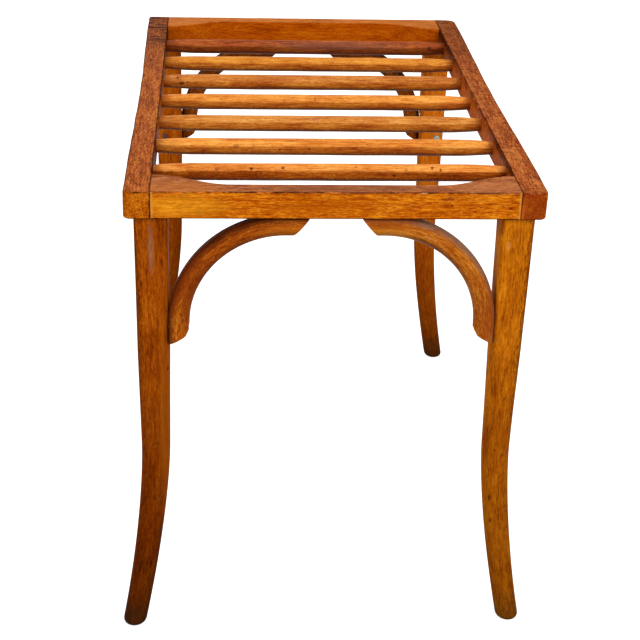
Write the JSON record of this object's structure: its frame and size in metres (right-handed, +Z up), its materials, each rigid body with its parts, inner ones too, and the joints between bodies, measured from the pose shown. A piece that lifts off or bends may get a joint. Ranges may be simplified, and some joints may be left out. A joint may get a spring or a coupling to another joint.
{
  "type": "luggage rack",
  "caption": "Free-standing wooden luggage rack: a flat frame with round rungs on outswept bentwood legs, each stiffened by a bent brace.",
  "frame": {"origin": "on the floor, midway between the feet", "axes": "+Z up, +Y along the side rails from front to back, +X to the right along the cross rails"},
  "size_m": [0.435, 0.6578, 0.505],
  "materials": {
    "rail_wood": "polished reddish brown beech with fine straight grain",
    "rung_wood": "polished orange beech, whittled round",
    "leg_wood": "polished golden brown beech, darkened at the feet",
    "brace_wood": "polished red-brown bent beech",
    "dowel_wood": "bare beech",
    "brace_screw_brass": "dull old brass",
    "leg_screw_steel": "bright plated steel"
  },
  "bodies": {
    "root": {"side_rail_left": "rail_wood", "side_rail_right": "rail_wood", "front_rail": "rail_wood", "back_rail": "rail_wood", "rung_1": "rung_wood", "rung_2": "rung_wood", "rung_3": "rung_wood", "rung_4": "rung_wood", "rung_5": "rung_wood", "rung_6": "rung_wood", "rung_7": "rung_wood", "leg_front_left": "leg_wood", "leg_front_right": "leg_wood", "leg_back_left": "leg_wood", "leg_back_right": "leg_wood", "brace_front_left": "brace_wood", "brace_front_right": "brace_wood", "brace_back_left": "brace_wood", "brace_back_right": "brace_wood", "rail_dowels": "dowel_wood", "leg_dowels": "dowel_wood", "brace_screws": "brace_screw_brass", "leg_screws": "leg_screw_steel"}
  },
  "joints": []
}
